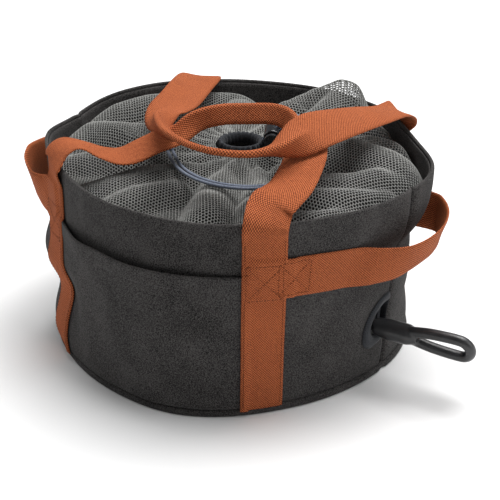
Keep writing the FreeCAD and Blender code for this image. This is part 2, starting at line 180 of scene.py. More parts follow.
def relief_and_gloss(tree, shader, height, depth, strength, drift, low, high):
    """Fine relief of a depth in mm, and a roughness that drifts from low to high."""
    bump = tree.nodes.new("ShaderNodeBump")
    bump.inputs["Distance"].default_value = depth * MM
    bump.inputs["Strength"].default_value = strength
    tree.links.new(height, bump.inputs["Height"])
    tree.links.new(bump.outputs["Normal"], shader.inputs["Normal"])
    gloss = tree.nodes.new("ShaderNodeMapRange")
    gloss.inputs["To Min"].default_value = low
    gloss.inputs["To Max"].default_value = high
    tree.links.new(drift, gloss.inputs["Value"])
    tree.links.new(gloss.outputs[0], shader.inputs["Roughness"])


def woven(name, dark, light, pitch, rough, sheen=0.0, depth=0.3, speck=1500.0, spread=0.14,
          weave=0.35, use_uv=True):
    """Woven cloth: staggered floats of a pitch in mm, coloured yarns and slow fading."""
    made, tree, shader = new_material(name)
    coords = tree.nodes.new("ShaderNodeTexCoord")
    place = coords.outputs["Object"]
    split = tree.nodes.new("ShaderNodeSeparateXYZ")
    tree.links.new(coords.outputs["UV"] if use_uv else place, split.inputs[0])
    across, along = split.outputs[0], split.outputs[1]
    if not use_uv:
        along = split.outputs[2]
    waves = [math_node(tree, "SINE", math_node(tree, "MULTIPLY", axis, 2 * math.pi / (p * MM)))
             for axis, p in ((across, pitch[0]), (along, pitch[1]))]
    floats = math_node(tree, "MULTIPLY", waves[0], waves[1])
    yarn = noise_node(tree, place, speck, 2.0, 0.6)
    slow = noise_node(tree, place, 28.0, 2.0, 0.5)
    mixed = math_node(tree, "ADD", yarn, math_node(tree, "MULTIPLY", floats, weave * 0.25))
    mixed = math_node(tree, "ADD", mixed, math_node(tree, "MULTIPLY", slow, 0.22))
    mixed = math_node(tree, "SUBTRACT", mixed, 0.11)
    tree.links.new(ramp_node(tree, mixed, ((0.5 - spread, dark), (0.5 + spread, light))),
                   shader.inputs["Base Color"])
    height = math_node(tree, "ADD", math_node(tree, "MULTIPLY", floats, 0.5), yarn)
    relief_and_gloss(tree, shader, height, depth, 0.8, slow, rough - 0.08, rough + 0.06)
    shader.inputs["Sheen Weight"].default_value = sheen
    shader.inputs["Sheen Roughness"].default_value = 0.5
    shader.inputs["Specular IOR Level"].default_value = 0.1
    return made


def moulded(name, dark, light, rough, coarse=220.0, depth=0.05, specular=0.5):
    """Moulded or dipped surface with a faint texture and uneven gloss."""
    made, tree, shader = new_material(name)
    coords = tree.nodes.new("ShaderNodeTexCoord")
    place = coords.outputs["Object"]
    fine = noise_node(tree, place, coarse * 6, 3.0, 0.6)
    slow = noise_node(tree, place, coarse, 2.0, 0.5)
    tree.links.new(ramp_node(tree, slow, ((0.3, dark), (0.7, light))), shader.inputs["Base Color"])
    relief_and_gloss(tree, shader, fine, depth, 0.6, slow, rough - 0.06, rough + 0.08)
    shader.inputs["Specular IOR Level"].default_value = specular
    return made


CANVAS = woven("heather_canvas", (0.006, 0.0056, 0.0055), (0.082, 0.077, 0.075), (0.9, 0.9), 0.9,
               0.05, 0.22, 1100.0, 0.11)
WEBBING = woven("ribbed_webbing", (0.13, 0.028, 0.011), (0.56, 0.160, 0.060), (2.2, 2.5), 0.8, 0.0,
                0.8, 900.0, 0.22, 2.2)
THREAD = woven("rust_thread", (0.08, 0.018, 0.006), (0.20, 0.05, 0.018), (0.5, 0.8), 0.7)
NET = woven("knitted_net", (0.11, 0.11, 0.105), (0.34, 0.34, 0.325), (0.8, 0.8), 0.75, 0.0, 0.12, 1400.0)
TAPE = woven("grosgrain_tape", (0.012, 0.013, 0.015), (0.045, 0.048, 0.055), (6.0, 1.1), 0.62, 0.1,
             0.25, 900.0, 0.3, 1.0)
CORD = woven("braided_cord", (0.085, 0.10, 0.14), (0.22, 0.25, 0.31), (1.2, 1.2), 0.55, 0.1, 0.2, 900.0,
             0.2, 1.0, False)
ROPE = woven("braided_rope", (0.010, 0.010, 0.011), (0.05, 0.05, 0.052), (2.4, 2.4), 0.6, 0.1, 0.5, 600.0,
             0.2, 1.0, False)
RUBBER = moulded("dipped_rubber", (0.010, 0.010, 0.011), (0.022, 0.022, 0.024), 0.36, 90.0, 0.25, 0.6)
PLASTIC = moulded("moulded_lock", (0.008, 0.008, 0.010), (0.016, 0.016, 0.019), 0.16, 260.0, 0.02, 0.6)
BOARD = moulded("matt_board", (0.07, 0.07, 0.07), (0.12, 0.12, 0.12), 0.6, 120.0, 0.1)
STEEL = moulded("drawn_wire", (0.45, 0.45, 0.46), (0.6, 0.6, 0.61), 0.3, 200.0, 0.02)
STEEL.node_tree.nodes["Principled BSDF"].inputs["Metallic"].default_value = 1.0


# ---------------------------------------------------------------- making objects
def in_scene(name, data):
    made = bpy.data.objects.new(name, data)
    bpy.context.scene.collection.objects.link(made)
    return made


def finish_piece(piece, material, body, nodes=()):
    """Material, body (none for the webbing straps) and the CAD nodes it stands for."""
    piece.data.materials.append(material)
    if body:
        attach(piece, body)
    if nodes:
        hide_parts(*nodes)
    return piece


def mesh_object(name, points, faces, uvs=None):
    """Smooth mesh of points in mm; uvs has one pair in mm for each point."""
    data = bpy.data.meshes.new(name)
    data.from_pydata((np.asarray(points, float) * MM).tolist(), [], [list(f) for f in faces])
    data.shade_smooth()
    if uvs is not None:
        layer = data.uv_layers.new(name="UVMap")
        corner = np.zeros(len(data.loops), int)
        data.loops.foreach_get("vertex_index", corner)
        layer.data.foreach_set("uv", (np.asarray(uvs, float)[corner] * MM).astype(np.float32).ravel())
    return in_scene(name, data)


def sweep_faces(rows, columns, closed=False):
    """Faces over rows of closed sections, capped at the ends unless they join."""
    r, c = np.meshgrid(np.arange(rows if closed else rows - 1), np.arange(columns), indexing="ij")
    r2, c2 = (r + 1) % rows, (c + 1) % columns
    quads = np.stack([r * columns + c, r2 * columns + c, r2 * columns + c2, r * columns + c2], -1)
    faces = quads.reshape(-1, 4).tolist()
    if not closed:
        faces.append(list(range(columns)))
        faces.append(list(range(columns * rows - 1, columns * (rows - 1) - 1, -1)))
    return faces


def sweep_object(name, points, closed=False, uvs=None, open_at=None):
    """Solid from a row of closed sections, less the faces whose middle open_at(middle) takes out."""
    faces = sweep_faces(*points.shape[:2], closed)
    points = points.reshape(-1, 3)
    if open_at is not None:
        faces = [face for face in faces if not open_at(points[face].mean(0))]
    if uvs is not None:
        uvs = uvs.reshape(-1, 2)
    return mesh_object(name, points, faces, uvs)


# ---------------------------------------------------------------- the canvas shell
RIM_HEIGHT = 190.0
MEAN_RADIUS = 175.0
CANVAS_THICK = 3.0
SEAMS = (-90.0, 86.5)
LEGS = {"front_left": -41.5, "front_right": 38.0, "back_right": 143.0, "back_left": -138.0}
rim_radius = around(((-155, 181), (-125, 190), (-105, 188), (-90, 183), (-73, 184.5), (-57, 175),
                     (-38, 167), (-15, 169), (10, 177), (27, 183), (50, 184), (72, 181), (86, 184),
                     (97, 189), (108, 180), (120, 168), (133, 167), (150, 174), (168, 178)))
base_radius = around(((-150, 167), (-60, 168), (-42, 166), (-30, 165), (-15, 167.5), (0, 169.5),
                      (12, 172), (30, 168), (45, 161), (62, 159.5), (85, 159), (105, 164), (160, 168)))
rim_rise = around(((-38, 0), (-12, -1.5), (20, -1), (38, 0.5), (60, -1), (84, -4), (100, 1), (125, -1),
                   (180, 0), (-130, 1), (-107, 2), (-98, -2), (-89, -7), (-80, -4), (-70, 0), (-60, 1)))
# Swellings and hollows of the soft wall: azimuth, height, how far they reach, and how deep.
SWELLS = ((-54, 22, 20, 22, 8), (-52, 64, 22, 16, -2), (-54, 92, 22, 19, 10), (112, 62, 26, 26, -6),
          (112, 105, 26, 22, -8), (106, 166, 24, 26, 4), (100, 128, 24, 13, -7), (10, 70, 26, 40, 2.5),
          (62, 75, 22, 36, -2), (-120, 90, 30, 40, 4), (170, 80, 34, 40, 3), (81, 60, 6, 20, -2.5),
          (-24, 62, 7, 34, 2.2), (-14, 84, 6, 30, -1.6), (-35, 78, 9, 22, -7), (-48, 126, 7, 20, 4))


def wall(azimuth, z):
    """Radius of the wall's outer face."""
    azimuth, z = np.broadcast_arrays(np.asarray(azimuth, float), np.asarray(z, float))
    share = np.clip(z / RIM_HEIGHT, -0.1, 1.1)
    radius = base_radius(azimuth) * (1 - share) + rim_radius(azimuth) * share
    for at, height, wide, tall, deep in SWELLS:
        radius = radius + deep * bell(wrapped(azimuth - at), wide) * bell(z - height, tall)
    a = np.radians(azimuth)
    radius = radius + 0.7 * np.sin(7 * a + z / 31) * np.sin(z / 47 + 1.3 + 2 * a)
    radius = radius + 0.4 * np.sin(13 * a + 2 - z / 19) * share
    for at in SEAMS:
        radius = radius - 2.4 * bell(wrapped(azimuth - at) * 3.1, 3.2)
    return radius


def on_wall(azimuth, z, off=0.0):
    """Points off millimetres outside the wall's outer face."""
    azimuth, z = np.broadcast_arrays(np.asarray(azimuth, float), np.asarray(z, float))
    place = heading(azimuth) * (wall(azimuth, z) + off)[..., None]
    place[..., 2] = z + rim_rise(azimuth) * np.clip(z / RIM_HEIGHT, 0, 1) ** 3
    return place


def shell(name, azimuths, section, closed=False, out=None, open_at=None):
    """Piece that follows the wall: section is a loop of (height, distance inside the face)."""
    section = np.array(section, float)
    az, z = np.meshgrid(azimuths, section[:, 0], indexing="ij")
    off = -np.broadcast_to(section[:, 1], az.shape)
    if out is not None:
        off = off + out(az, z)
    uvs = np.stack([np.radians(az) * MEAN_RADIUS, z + 0.6 * section[:, 1]], -1)
    return sweep_object(name, on_wall(az, z, off), closed, uvs, open_at)


def flat_band(low, high, inside, thick, step=3.0):
    """Closed section of a band between two heights with rounded edges."""
    count = max(2, int((high - low) / step))
    heights = np.linspace(low, high, count)
    out = [(z, inside) for z in heights]
    out.append((high + 0.3 * thick, inside + 0.5 * thick))
    out += [(z, inside + thick) for z in heights[::-1]]
    out.append((low - 0.3 * thick, inside + 0.5 * thick))
    return out


PORT_AZIMUTH = 81.0
PORT_HEIGHT = 60.0
PORT_WIDE = 15.5
PORT_TALL = 19.0
PORT_RADIUS = 166.0   # of the wall there
PORT_SHIFT = 4.0      # the opening is pulled sideways by this much, and it leans
PORT_LEAN = 0.32


def port_distance(azimuth, z):
    """1 on the edge of the port's opening, less inside it."""
    rise = z - PORT_HEIGHT
    sideways = wrapped(azimuth - PORT_AZIMUTH) * math.pi / 180 * PORT_RADIUS
    return np.hypot((sideways - PORT_SHIFT - PORT_LEAN * rise) / PORT_WIDE, rise / PORT_TALL)


def in_port(place):
    """Whether a place is in the port's opening, whose bound edge covers the cut."""
    x, y, z = place
    azimuth = azimuth_of(x, y)
    return x > 0 and azimuth < SEAMS[1] and port_distance(azimuth, z) < 1.12


def build_shell():
    fold = ((RIM_HEIGHT - 1.6, 0.1), (RIM_HEIGHT - 0.5, 0.7), (RIM_HEIGHT, 1.7), (RIM_HEIGHT - 0.3, 2.8),
            (RIM_HEIGHT - 1.4, 3.4))
    rise = np.linspace(7.3, RIM_HEIGHT - 3.0, 72)
    section = [(z, 0.0) for z in rise] + list(fold) + [(z, CANVAS_THICK) for z in rise[::-2]]
    for name, first, last in (("wall_front", SEAMS[0], SEAMS[1]), ("wall_back", SEAMS[1], 270.0)):
        azimuths = np.linspace(first + 0.12, last - 0.12, 180)
        piece = shell(name + "_canvas", azimuths, section, open_at=in_port)
        finish_piece(piece, CANVAS, "bag", [name])
    whole = np.arange(0, 360, 1.5)
    facing = flat_band(160.0, 186.5, 3.5, 1.3)
    finish_piece(shell("rim_facing_band", whole, facing, True), CANVAS, "bag", ["rim_facing"])
    seam = flat_band(157.5, 163.5, 5.0, 1.0, 2.0)
    finish_piece(shell("net_seam_tape", whole, seam, True), TAPE, "bag")
    for side, azimuth in (("left", SEAMS[0]), ("right", SEAMS[1])):
        tape = shell("seam_tape_%s_bound" % side, np.linspace(azimuth - 3.2, azimuth + 3.2, 9),
                     flat_band(9.0, 158.0, 3.3, 1.2, 4.0))
        finish_piece(tape, TAPE, "bag", ["seam_tape_" + side])
    piping = ((0.3, 2.5), (0.0, 0.5), (0.1, -1.2), (0.9, -2.3), (2.4, -2.7), (4.6, -2.5), (6.1, -1.6),
              (7.0, 0.0), (7.0, 2.5), (3.6, 2.7))
    finish_piece(shell("base_piping", whole, piping, True), CANVAS, "bag", ["base_binding"])
    build_base(whole)


def build_base(azimuths):
    """Canvas floor: a slightly sagging disc with a turned edge."""
    edge = (0.99, 1.0, 1.0, 0.99)
    shares = np.concatenate([np.linspace(0.02, 0.97, 40), edge, np.linspace(0.97, 0.02, 20)])
    heights = np.concatenate([np.full(41, 0.5), [1.0, 2.2, 2.9], np.full(20, 3.0)])
    az, share = np.meshgrid(azimuths, shares, indexing="ij")
    radius = (wall(az, 3.0) - CANVAS_THICK - 0.2) * share
    points = heading(az) * radius[..., None]
    points[..., 2] = heights
    piece = sweep_object("base_panel_canvas", points, True, points[..., :2])
    finish_piece(piece, CANVAS, "bag", ["base_panel"])


# ---------------------------------------------------------------- front pocket
POCKET_FROM = -38.0
POCKET_TO = 34.0
POCKET_MOUTH = 142.0


def pocket_out(azimuth, z):
    """How far the pocket's panel stands off the wall."""
    share = np.clip((azimuth - POCKET_FROM) / (POCKET_TO - POCKET_FROM), 0, 1)
    bow = np.sin(math.pi * share) ** 0.7
    rise = np.clip(z / POCKET_MOUTH, 0, 1)
    out = 4.6 * bow * rise ** 1.6 + 2.6 * bell(azimuth + 22, 7) * bell(z - POCKET_MOUTH, 26)
    return out + 0.35 * np.sin(azimuth / 3.1 + z / 17) * bow


def build_pocket():
    azimuths = np.linspace(POCKET_FROM, POCKET_TO, 90)
    panel = flat_band(8.0, POCKET_MOUTH - 13.0, -2.0, 1.6, 2.5)
    hem = flat_band(POCKET_MOUTH - 14.0, POCKET_MOUTH, -2.6, 2.3, 1.6)
    finish_piece(shell("front_pocket_panel", azimuths, panel, out=pocket_out), CANVAS, "bag",
                 ["front_pocket"])
    piece = shell("pocket_hem_fold", azimuths, hem, out=pocket_out)
    finish_piece(piece, CANVAS, "bag", ["pocket_hem"])


# ---------------------------------------------------------------- webbing
WEBBING_WIDE = 38.0
WEBBING_THICK = 2.0
WEBBING_STEP = 1.6
# Middle of the webbing, the way its face looks, and how many degrees it is folded lengthwise.
FRONT_HANDLE = (
    ((-112, -127, 194), (-0.5, -0.75, 0.35), 0), ((-111, -123, 201), (-0.3, -0.5, 0.8), 0),
    ((-106, -117, 205.5), (-0.1, -0.15, 1), 0), ((-99, -111, 206), (0.05, 0.2, 1), 0),
    ((-90, -106, 204), (0.12, 0.32, 1), 0), ((-78, -101, 199), (0.1, 0.2, 1), 0),
    ((-66, -94, 196), (-0.05, -0.05, 1), 0), ((-53, -86, 199.5), (-0.18, -0.35, 1), 0),
    ((-39, -75, 207.5), (-0.3, -0.45, 0.9), 0), ((-25, -62, 217), (-0.25, -0.5, 0.9), 60),
    ((-10, -48, 225.5), (-0.1, -0.1, 1), 160), ((6, -34, 228.5), (-0.1, 0.35, 0.95), 178),
    ((24, -21, 228.5), (-0.1, 0.4, 0.9), 180), ((45, -10, 228.5), (-0.1, 0.4, 0.9), 178),
    ((65, -11, 226), (0.1, -0.1, 1), 140), ((88, -32, 221), (0.0, -0.3, 1), 60),
    ((102, -58, 215.5), (-0.04, -0.3, 1), 10), ((109, -82, 211), (0, -0.2, 1), 0),
    ((113, -104, 207), (0.07, -0.17, 1), 0), ((112, -120, 204), (0.2, -0.2, 1), 0),
    ((110, -131, 199.5), (0.4, -0.5, 0.8), 0))
BACK_HANDLE = (
    ((-115, 127, 198), (0.05, 0.12, 1), 0), ((-105, 98, 203), (0.3, 0.15, 0.95), 0),
    ((-90, 60, 208), (0.4, 0.15, 0.9), 0), ((-77, 24, 211), (0.3, 0.05, 0.95), 0),
    ((-68, -8, 214), (0.1, 0.0, 1), 5), ((-58, -36, 217.5), (-0.2, -0.3, 0.95), 60),
    ((-40, -64, 221.5), (-0.36, -0.3, 0.9), 150), ((-12, -91, 225.5), (-0.44, -0.6, 0.65), 178),
    ((20, -107, 227), (-0.25, -0.82, 0.5), 180), ((50, -112, 228.5), (0.08, -0.9, 0.42), 180),
    ((74, -104, 229), (0.5, -0.77, 0.4), 178), ((89, -86, 230.5), (0.62, -0.6, 0.5), 160),
    ((96, -68, 233), (0.6, -0.45, 0.7), 95), ((100, -48, 234), (0.5, -0.35, 0.8), 22),
    ((103, -30, 233), (0.5, -0.15, 0.84), 0),
    ((109, 6, 229), (0.35, 0.0, 0.93), 0), ((113, 48, 222), (0.2, 0.1, 0.97), 0),
    ((113, 84, 214), (0.08, 0.15, 1), 0), ((111.5, 106, 207.5), (0.1, 0.2, 1), 0),
    ((109, 126, 199.5), (0.3, 0.5, 0.8), 0))
GRAB_RIGHT = (
    ((129, -129, 138), (0.7, -0.71, 0), 0), ((142, -108, 137.5), (0.8, -0.6, 0), 0),
    ((154, -89, 135.5), (0.85, -0.52, -0.03), 0), ((165, -72, 133), (0.85, -0.52, -0.1), 0),
    ((176.5, -56.5, 131), (0.84, -0.48, -0.25), 0), ((187, -42, 130), (0.85, -0.4, -0.35), 0),
    ((194, -27, 131), (0.88, -0.25, -0.42), 0), ((198.5, -8, 132.5), (0.92, -0.05, -0.42), 0),
    ((199, 12, 133), (0.93, 0.2, -0.36), 0), ((195, 32, 132), (0.85, 0.42, -0.28), 0),
    ((188.5, 50, 130), (0.82, 0.55, -0.2), 0), ((180.5, 65.5, 128.5), (0.8, 0.6, -0.1), 0),
    ((166, 86, 127), (0.8, 0.6, 0), 0), ((151, 105, 127), (0.8, 0.6, 0), 0),
    ((138, 119, 127), (0.74, 0.67, 0), 0))
GRAB_LEFT = (
    ((-122, -121.5, 156), (-0.6, -0.8, -0.1), 0), ((-134, -117, 154), (-0.5, -0.85, -0.12), 0),
    ((-147, -112, 156), (-0.52, -0.8, -0.25), 0), ((-159, -104.5, 162.5), (-0.62, -0.65, -0.25), 0),
    ((-167.5, -94, 165), (-0.75, -0.5, -0.1), 0), ((-176, -80, 162.5), (-0.88, -0.3, -0.05), 0),
    ((-183, -61, 158.5), (-0.95, -0.15, -0.05), 0), ((-188, -40, 154), (-0.97, -0.08, -0.1), 0),
    ((-190, -18, 149.5), (-0.98, 0, -0.15), 0), ((-190.5, 4, 144.5), (-0.98, 0.1, -0.15), 0),
    ((-189, 27, 139.5), (-0.95, 0.25, -0.15), 0), ((-185, 48, 135), (-0.88, 0.4, -0.15), 0),
    ((-178.5, 66.5, 132), (-0.8, 0.6, -0.12), 0), ((-167, 85, 128.5), (-0.8, 0.6, 0), 0),
    ((-151, 105, 127), (-0.8, 0.6, 0), 0), ((-138, 119, 127), (-0.74, 0.67, 0), 0))
COLUMNS = np.linspace(-1, 1, 25)
COLUMNS = 0.45 * COLUMNS + 0.55 * COLUMNS ** 3
# Where each grab handle's end lies under a leg: first and last azimuth, low and high.
GRAB_ROOTS = ((34, 46, 119, 157), (-48, -39, 136, 175), (131, 146, 108, 146), (-146, -131, 108, 146))


def under_webbing(azimuth, z):
    """Thickness of what lies between a leg and the wall: the pocket and the grab handle's end."""
    under = smoothstep(azimuth, POCKET_FROM - 0.6, POCKET_FROM + 0.6)
    under = under * (1 - smoothstep(azimuth, POCKET_TO - 0.6, POCKET_TO + 0.6))
    under = 2.5 * under * (1 - smoothstep(z, POCKET_MOUTH - 1, POCKET_MOUTH + 3))
    for first, last, low, high in GRAB_ROOTS:
        root = smoothstep(azimuth, first - 0.5, first + 0.8) * (1 - smoothstep(azimuth, last, last + 1))
        root = 2.2 * root * smoothstep(z, low - 2, low + 1) * (1 - smoothstep(z, high - 1, high + 2))
        under = np.maximum(under, root)
    return under


def leg_stations(azimuth):
    """The sewn length of webbing, from the foot up over the rim."""
    out = heading(azimuth)
    rows = [(on_wall(azimuth, z, 1.6), out, 0) for z in (6, 30, 58, 86, 114, 142, 168)]
    return rows + [(on_wall(azimuth, 188, 2.0), out + (0, 0, 0.15), 0)]


def webbing(name, stations, lay):
    """Ribbon along stations; lay(points) gives how much each point is pressed onto the wall."""
    path, run = evenly(through([[*place, *face, fold] for place, face, fold in stations]), WEBBING_STEP)
    middle = path[:, 0:3]
    along = unit(np.gradient(middle, axis=0))
    face = path[:, 3:6]
    face = unit(face - (face * along).sum(1, keepdims=True) * along)
    side = np.cross(face, along)
    half = WEBBING_WIDE / 2 * (1 + 0.007 * np.sin(run * 2 * math.pi / 3.2))[:, None]
    fold = np.radians(np.clip(path[:, 6:7], 0, 180))
    bend = 1.9
    c = COLUMNS[None, :] * half
    reach = np.minimum(bend * fold / 2, half)
    on_arc = np.minimum(np.abs(c), reach)
    angle = on_arc / bend
    rest = np.abs(c) - on_arc
    x = np.sign(c) * (bend * np.sin(angle) + rest * np.cos(fold / 2))
    y = bend * (np.cos(angle) - 1) - rest * np.sin(fold / 2)
    y = y + 0.5 * (bend * (1 - np.cos(fold / 2)) + (half - reach) * np.sin(fold / 2))
    nx, ny = np.sign(c) * np.sin(angle), np.cos(angle)
    body = WEBBING_THICK / 2 * (1 - 0.45 * np.abs(COLUMNS[None, :]) ** 14)
    layers = []
    for sign in (1, -1):
        px, py = x + sign * body * nx, y + sign * body * ny
        layer = middle[:, None] + side[:, None] * px[..., None] + face[:, None] * py[..., None]
        lift = 0.3 + WEBBING_THICK / 2 + sign * np.broadcast_to(body, px.shape)
        layers.append(laid(layer, lay, lift))
    points = np.concatenate([layers[0], layers[1][:, ::-1]], 1)
    columns = np.concatenate([COLUMNS, COLUMNS[::-1]]) * WEBBING_WIDE / 2
    uvs = np.stack(np.broadcast_arrays(columns[None, :], run[:, None]), -1)
    piece = sweep_object(name, points, False, uvs)
    return piece, {"top": layers[0], "run": run, "middle": middle}


def laid(points, lay, lift):
    """Press points onto the wall below the rim, lift millimetres above what is under them."""
    azimuth = azimuth_of(points[..., 0], points[..., 1])
    z = points[..., 2]
    weight = lay(points)
    target = wall(azimuth, z) + under_webbing(azimuth, z) + lift
    now = np.hypot(points[..., 0], points[..., 1])
    scale = 1 + weight * (target / now - 1)
    out = points.copy()
    out[..., 0] *= scale
    out[..., 1] *= scale
    return out


def legs_lie(points):
    """Weight of lying on the wall for a carry handle."""
    return 1 - smoothstep(points[..., 2], 172, 188)


def grab_ends_lie(front):
    """Weight of lying on the wall for a grab handle, whose front end leaves it near y = front."""
    def weight(points):
        y = points[..., 1]
        return np.maximum(1 - smoothstep(y, front - 13, front + 13), smoothstep(y, 74, 94))
    return weight


STITCH_LONG = 2.3
STITCH_GAP = 1.0
STITCH_WIDE = 0.7


def stitches(name, runs):
    """Stitches along runs of (points, normals), as small rounded bars."""
    points, faces = [], []
    bar = [[face[0], *face[:0:-1]] for face in sweep_faces(4, 4)]
    for line, normal in runs:
        length = np.concatenate([[0], np.cumsum(np.linalg.norm(np.diff(line, axis=0), axis=1))])
        for start in np.arange(STITCH_GAP, length[-1] - STITCH_LONG, STITCH_LONG + STITCH_GAP):
            ends = []
            for s in (start, start + STITCH_LONG):
                place = np.array([np.interp(s, length, line[:, k]) for k in range(3)])
                out = unit(np.array([np.interp(s, length, normal[:, k]) for k in range(3)]))
                ends.append((place, out))
            along = unit(ends[1][0] - ends[0][0])
            faces += [[corner + len(points) for corner in face] for face in bar]
            for share, tall in ((0.0, 0.1), (0.3, 0.42), (0.7, 0.42), (1.0, 0.1)):
                place = ends[0][0] * (1 - share) + ends[1][0] * share
                out = ends[0][1]
                side = np.cross(along, out) * STITCH_WIDE / 2
                points += [place - side - out * 0.2, place - side * 0.6 + out * tall,
                           place + side * 0.6 + out * tall, place + side - out * 0.2]
    piece = mesh_object(name, np.array(points), faces, np.array(points)[:, :2])
    return finish_piece(piece, THREAD, "bag")


def on_ribbon(ribbon, s, c):
    """Points and normals on a ribbon's outer face, s along it and c across it, in mm."""
    top, run = ribbon["top"], ribbon["run"]
    s, c = np.broadcast_arrays(np.asarray(s, float), np.asarray(c, float))
    row = np.interp(s, run, np.arange(len(run)))
    column = np.interp(c / (WEBBING_WIDE / 2), COLUMNS, np.arange(len(COLUMNS)))
    ahead = bilinear(top, row + 1.5, column) - bilinear(top, row - 1.5, column)
    across = bilinear(top, row, column + 1.0) - bilinear(top, row, column - 1.0)
    return bilinear(top, row, column), unit(np.cross(ahead, across))


def ribbon_line(ribbon, start, end):
    count = max(3, int(math.dist(start, end) / 2))
    s = np.linspace(start[0], end[0], count)
    c = np.linspace(start[1], end[1], count)
    place, normal = on_ribbon(ribbon, s, c)
    if (normal * place * (1, 1, 0)).sum() < 0:
        normal = -normal
    return place, normal


def box_cross(ribbon, start, end):
    """A sewn box with a cross in it, between two distances along a ribbon."""
    a, b, w = start, end, 15.5
    corners = ((a, -w), (b, -w), (b, w), (a, w))
    runs = [ribbon_line(ribbon, p, q) for p, q in zip(corners, corners[1:] + corners[:1])]
    return runs + [ribbon_line(ribbon, (a, -w), (b, w)), ribbon_line(ribbon, (a, w), (b, -w))]


def height_run(ribbon, z, last=False):
    """Distance along a ribbon where one of its legs is at a height."""
    heights = ribbon["middle"][:, 2]
    index = np.arange(len(heights))
    near = np.abs(heights - z) + 1000.0 * ((index < len(index) / 2) if last else (index > len(index) / 2))
    return ribbon["run"][int(np.argmin(near))]


def build_carry_handles():
    made = {}
    for name, stations, left, right in (("front", FRONT_HANDLE, "front_left", "front_right"),
                                        ("back", BACK_HANDLE, "back_left", "back_right")):
        rows = leg_stations(LEGS[left]) + list(stations) + leg_stations(LEGS[right])[::-1]
        piece, ribbon = webbing(name + "_carry_strap", rows, legs_lie)
        nodes = ["leg_" + left, "leg_" + right]
        nodes += ["%s_handle_%s" % (name, part) for part in ("arm_left", "grip", "arm_right")]
        finish_piece(piece, WEBBING, None, nodes)
        made[name] = (piece, ribbon)
        runs = []
        for last in (False, True):
            low, high = height_run(ribbon, 119, last), height_run(ribbon, 153, last)
            runs += box_cross(ribbon, low, high)
            foot, top = height_run(ribbon, 9, last), height_run(ribbon, 176, last)
            for c in (-16.6, 16.6):
                runs.append(ribbon_line(ribbon, (foot, c), (low, c)))
                runs.append(ribbon_line(ribbon, (high, c), (top, c)))
        stitches(name + "_strap_stitching", runs)
    return made


def build_grab_handles():
    for side, azimuth, height, stations, front, hinge in (
            ("right", 36.0, 138.0, GRAB_RIGHT, -74, ((0.170, 0, 0.130), (0.190, 0, 0.130))),
            ("left", -40.0, 155.0, GRAB_LEFT, -138, ((-0.160, -0.018, 0.147), (-0.180, -0.020, 0.147)))):
        root = [(on_wall(azimuth, height, 1.3), heading(azimuth), 0)]
        piece, ribbon = webbing("grab_strap_" + side, root + list(stations), grab_ends_lie(front))
        nodes = ["grab_end_%s_front" % side, "grab_loop_" + side, "grab_end_%s_back" % side]
        finish_piece(piece, WEBBING, None, nodes)
        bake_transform(piece)
        length = ribbon["run"][-1]
        runs = box_cross(ribbon, length - 34.0, length - 6.0)
        if side == "right":
            runs += box_cross(ribbon, 18.0, 46.0)
        stitches("grab_stitching_" + side, runs)


# ---------------------------------------------------------------- drawcord
CORD_EXIT = np.array((23.0, 14.0, 191.0))
LOCK_ALONG = unit((0.68, 0.18, 0.71))
LOCK_FACE = np.array((0.4, -0.9, -0.2))
LOCK_FACE = unit(LOCK_FACE - LOCK_ALONG * (LOCK_FACE @ LOCK_ALONG))
LOCK_SIDE = np.cross(LOCK_ALONG, LOCK_FACE)
STRAND_HALF = 2.3
CORD_TAIL = ((54.5, 21, 219), (64, 17.5, 217.5), (72.5, 9.5, 210.5), (79, -2, 202), (85, -17, 194.5),
             (89, -36, 190), (87, -58, 189.6), (76, -76, 189.6), (59, -88, 189.6), (38, -93, 189.6),
             (16, -91, 189.6), (-5, -82, 189.6), (-24, -67, 189.6), (-40, -49, 189.6))


def strand_points(sign):
    """Control points of one of the two strands that lie side by side."""
    line = [CORD_EXIT, CORD_EXIT + 17 * LOCK_ALONG + 0.15 * LOCK_FACE, CORD_EXIT + 34 * LOCK_ALONG]
    line = np.array(line + [np.array(p, float) for p in CORD_TAIL])
    out = []
    for i, place in enumerate(line):
        ahead = unit(line[min(i + 1, len(line) - 1)] - line[max(i - 1, 0)])
        beside = LOCK_SIDE if i < 4 else unit((-ahead[1], ahead[0], 0))
        out.append(place + sign * STRAND_HALF * beside)
    return np.array(out)


def cord_curve(name, points, diameter, material, nodes):
    """Round cord on one smooth spline with the route's points as its control points."""
    data = bpy.data.curves.new(name, "CURVE")
    data.dimensions = "3D"
    spline = data.splines.new("NURBS")
    spline.points.add(len(points) - 1)
    for point, place in zip(spline.points, points):
        point.co = (*(np.asarray(place, float) * MM), 1)
    spline.order_u = 3
    spline.use_endpoint_u = True
    spline.resolution_u = 10
    data.bevel_depth = diameter * MM / 2
    data.bevel_resolution = 4
    data.use_fill_caps = True
    return finish_piece(in_scene(name, data), material, "bag", nodes)


def build_drawcord():
    for side, sign, length in (("left", -1, 0.290), ("right", 1, 0.304)):
        points = strand_points(sign)
        piece = cord_curve("drawcord_" + side, points, 3.0, CORD, ["drawcord_strand_" + side])
    low, high = (np.array(v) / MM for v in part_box("drawcord_knot"))
    knot = knot_piece((low + high) / 2, (high - low).max() / 2)


def knot_piece(centre, radius):
    """Overhand knot of the two strands, as one lumpy turn of cord about itself."""
    t = full_turn(72)
    pull = radius - 1.7
    line = np.stack([np.sin(t) + 2 * np.sin(2 * t), np.cos(t) - 2 * np.cos(2 * t), -1.3 * np.sin(3 * t)], -1)
    line = centre + line / 3.0 * pull
    rings = unit_rings(unit(np.roll(line, -1, 0) - np.roll(line, 1, 0)), (0.2, 0.3, 0.93), 12)
    piece = sweep_object("drawcord_knot_turns", line[:, None] + 1.6 * rings, True)
    return finish_piece(piece, CORD, "bag", ["drawcord_knot"])


